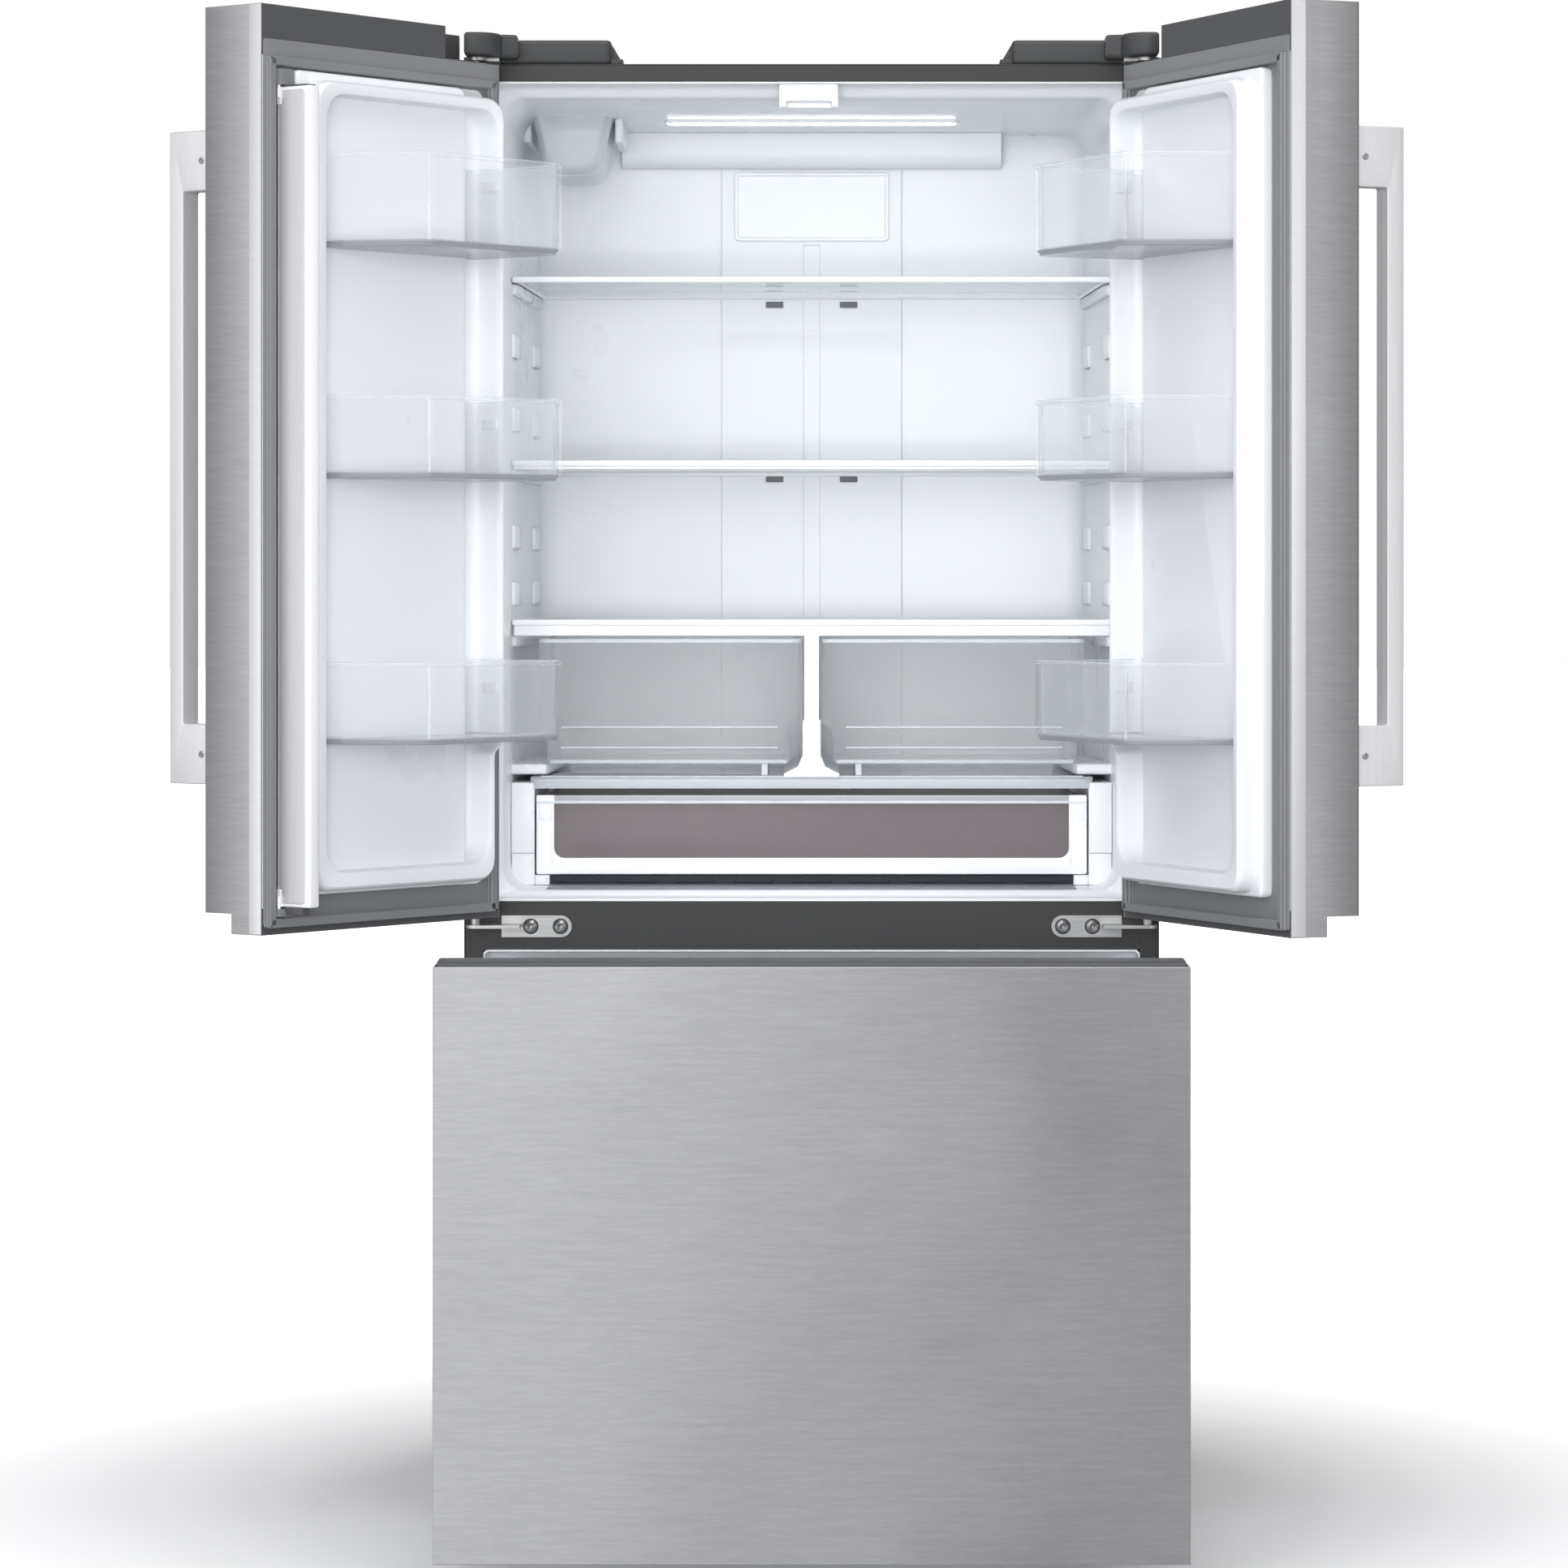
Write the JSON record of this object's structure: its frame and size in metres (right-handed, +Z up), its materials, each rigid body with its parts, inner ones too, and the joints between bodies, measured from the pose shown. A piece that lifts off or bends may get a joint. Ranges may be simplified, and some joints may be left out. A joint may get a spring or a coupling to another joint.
{
  "type": "french door refrigerator",
  "caption": "Stainless bottom-freezer refrigerator with hinged french doors, bar handles, door bins, glass shelves, crispers and a full-width pull-out freezer drawer.",
  "frame": {"origin": "on the floor, midway between the two front levelling feet", "axes": "+Z up, +X to the right as one faces the doors, the doors face -Y"},
  "size_m": [1.4063, 1.264, 1.774],
  "materials": {
    "stainless": "satin",
    "satin_handle": "satin",
    "grey_metal": "satin",
    "case_paint": "satin",
    "black_paint": "satin",
    "zinc_steel": "satin",
    "coil_metal": "satin",
    "dark_plastic": "matte",
    "black_plastic": "matte",
    "white_liner": "satin",
    "white_trim": "gloss",
    "clear_plastic": "gloss",
    "frosted_plastic": "satin",
    "smoked_plastic": "gloss",
    "shelf_glass": "gloss",
    "diffuser": "satin",
    "gasket": "matte",
    "foam": "matte"
  },
  "bodies": {
    "root": {"outer_case": "case_paint", "rear_panels": "case_paint", "base_pan": "zinc_steel", "front_frame": "case_paint", "mid_rail": "case_paint", "fridge_liner": "white_liner", "freezer_liner": "white_liner", "case_foam": "foam", "air_duct": "white_liner", "airflow_panel": "white_trim", "lamp_lens": "diffuser", "filter_housing": "frosted_plastic", "mullion_guide": "white_trim", "shelf_glass": "shelf_glass", "shelf_frames": "white_trim", "crisper_rail": "white_trim", "deli_lid": "clear_plastic", "deli_rails": "white_trim", "hinge_covers": "dark_plastic", "hinge_plates": "zinc_steel", "hinge_screws": "zinc_steel", "levelling_feet": "dark_plastic", "compressor": "black_paint", "condenser": "coil_metal", "evaporator": "coil_metal", "freezer_back_cover": "white_liner", "freezer_rails": "zinc_steel"},
    "left_door": {"left_door_skin": "stainless", "left_door_caps": "dark_plastic", "left_door_liner": "white_liner", "left_door_foam": "foam", "left_gasket": "gasket", "left_handle": "satin_handle", "left_bins": "clear_plastic", "mullion_brackets": "dark_plastic"},
    "right_door": {"right_door_skin": "stainless", "right_door_caps": "dark_plastic", "right_door_liner": "white_liner", "right_door_foam": "foam", "right_gasket": "gasket", "right_handle": "satin_handle", "right_bins": "clear_plastic"},
    "mullion": {"mullion_body": "white_trim", "mullion_face": "grey_metal"},
    "freezer_drawer": {"drawer_skin": "stainless", "drawer_cap": "dark_plastic", "drawer_liner": "white_liner", "drawer_foam": "foam", "drawer_gasket": "gasket", "freezer_basket": "white_trim", "drawer_runners": "zinc_steel"},
    "drawer_slides": {"slide_members": "zinc_steel"},
    "freezer_tray": {"freezer_tray": "white_trim"},
    "left_crisper": {"left_crisper": "clear_plastic"},
    "right_crisper": {"right_crisper": "clear_plastic"},
    "deli_drawer": {"deli_drawer": "smoked_plastic", "deli_front": "white_trim"},
    "evaporator_fan": {"evaporator_fan": "black_plastic"},
    "condenser_fan": {"condenser_fan": "black_plastic"},
    "rear_rollers": {"rear_rollers": "black_plastic"}
  },
  "joints": [
    {"name": "left_door_hinge", "type": "hinge", "parent": "root", "child": "left_door", "pos_m": [-0.4, -0.0755, 1.25], "axis": [0, 0, -1], "range_deg": [-127, 2]},
    {"name": "right_door_hinge", "type": "hinge", "parent": "root", "child": "right_door", "pos_m": [0.4, -0.0755, 1.25], "axis": [0, 0, 1], "range_deg": [-113.5, 15.5]},
    {"name": "mullion_hinge", "type": "hinge", "parent": "left_door", "child": "mullion", "pos_m": [-0.60179, -0.40019, 1.2165], "axis": [0, 0, 1], "range_deg": [-90, 0]},
    {"name": "freezer_drawer_slide", "type": "slide", "parent": "root", "child": "freezer_drawer", "axis": [0, -1, 0], "range_m": [-0.434, 0.03]},
    {"name": "drawer_slide_members", "type": "slide", "parent": "root", "child": "drawer_slides", "axis": [0, -1, 0], "range_m": [-0.217, 0.015]},
    {"name": "freezer_tray_slide", "type": "slide", "parent": "root", "child": "freezer_tray", "axis": [0, -1, 0], "range_m": [0, 0.33]},
    {"name": "left_crisper_slide", "type": "slide", "parent": "root", "child": "left_crisper", "axis": [0, -1, 0], "range_m": [0, 0.22]},
    {"name": "right_crisper_slide", "type": "slide", "parent": "root", "child": "right_crisper", "axis": [0, -1, 0], "range_m": [0, 0.22]},
    {"name": "deli_drawer_slide", "type": "slide", "parent": "root", "child": "deli_drawer", "axis": [0, -1, 0], "range_m": [0, 0.33]},
    {"name": "evaporator_fan_spin", "type": "hinge", "parent": "root", "child": "evaporator_fan", "pos_m": [0, 0.476, 0.606], "axis": [0, 1, 0], "continuous": true},
    {"name": "condenser_fan_spin", "type": "hinge", "parent": "root", "child": "condenser_fan", "pos_m": [-0.02, 0.58, 0.16], "axis": [1, 0, 0], "continuous": true},
    {"name": "rear_rollers_spin", "type": "hinge", "parent": "root", "child": "rear_rollers", "pos_m": [0, 0.64, 0.018], "axis": [1, 0, 0], "continuous": true}
  ],
  "couplings": [
    {"joint": "drawer_slide_members", "follows": "freezer_drawer_slide", "ratio": 0.5}
  ]
}
